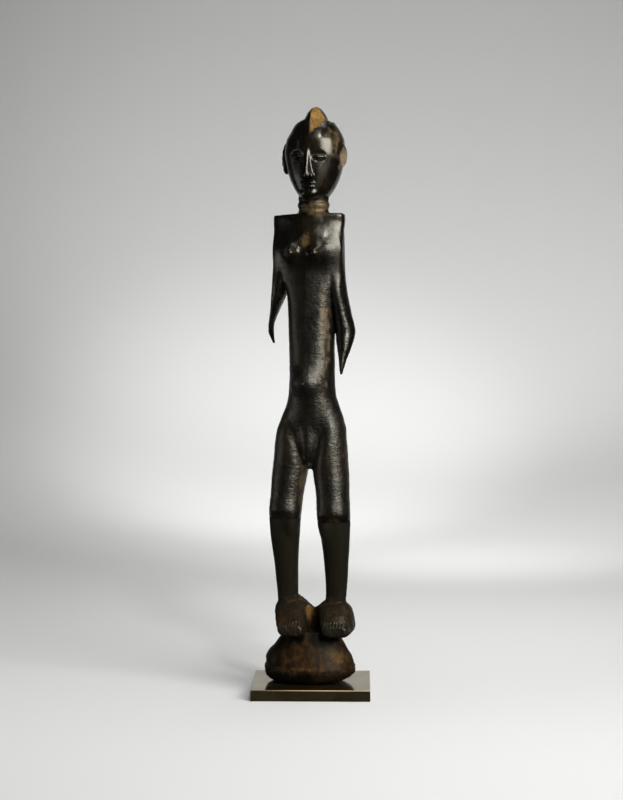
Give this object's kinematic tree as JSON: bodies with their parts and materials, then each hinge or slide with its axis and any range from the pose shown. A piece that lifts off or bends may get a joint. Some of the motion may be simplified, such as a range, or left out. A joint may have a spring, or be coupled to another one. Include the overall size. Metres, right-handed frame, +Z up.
{
  "type": "carved wooden standing female figure",
  "caption": "Tall slender standing female figure of dark carved wood, with crested head, ringed neck, broken forearms and block feet on a flared base, resting on a thin metal plate.",
  "frame": {"origin": "middle of the display plate's underside, where the part stands", "axes": "+Z up along the figure's height, -Y towards the front of the plate, +X towards the figure's left side"},
  "size_m": [0.148, 0.135, 0.7332],
  "materials": {
    "patinated_wood": "near-black polished patina with worn brown edges",
    "dark_metal": "blackened, satin"
  },
  "bodies": {
    "root": {"figure": "patinated_wood", "display_plate": "dark_metal"}
  },
  "joints": []
}
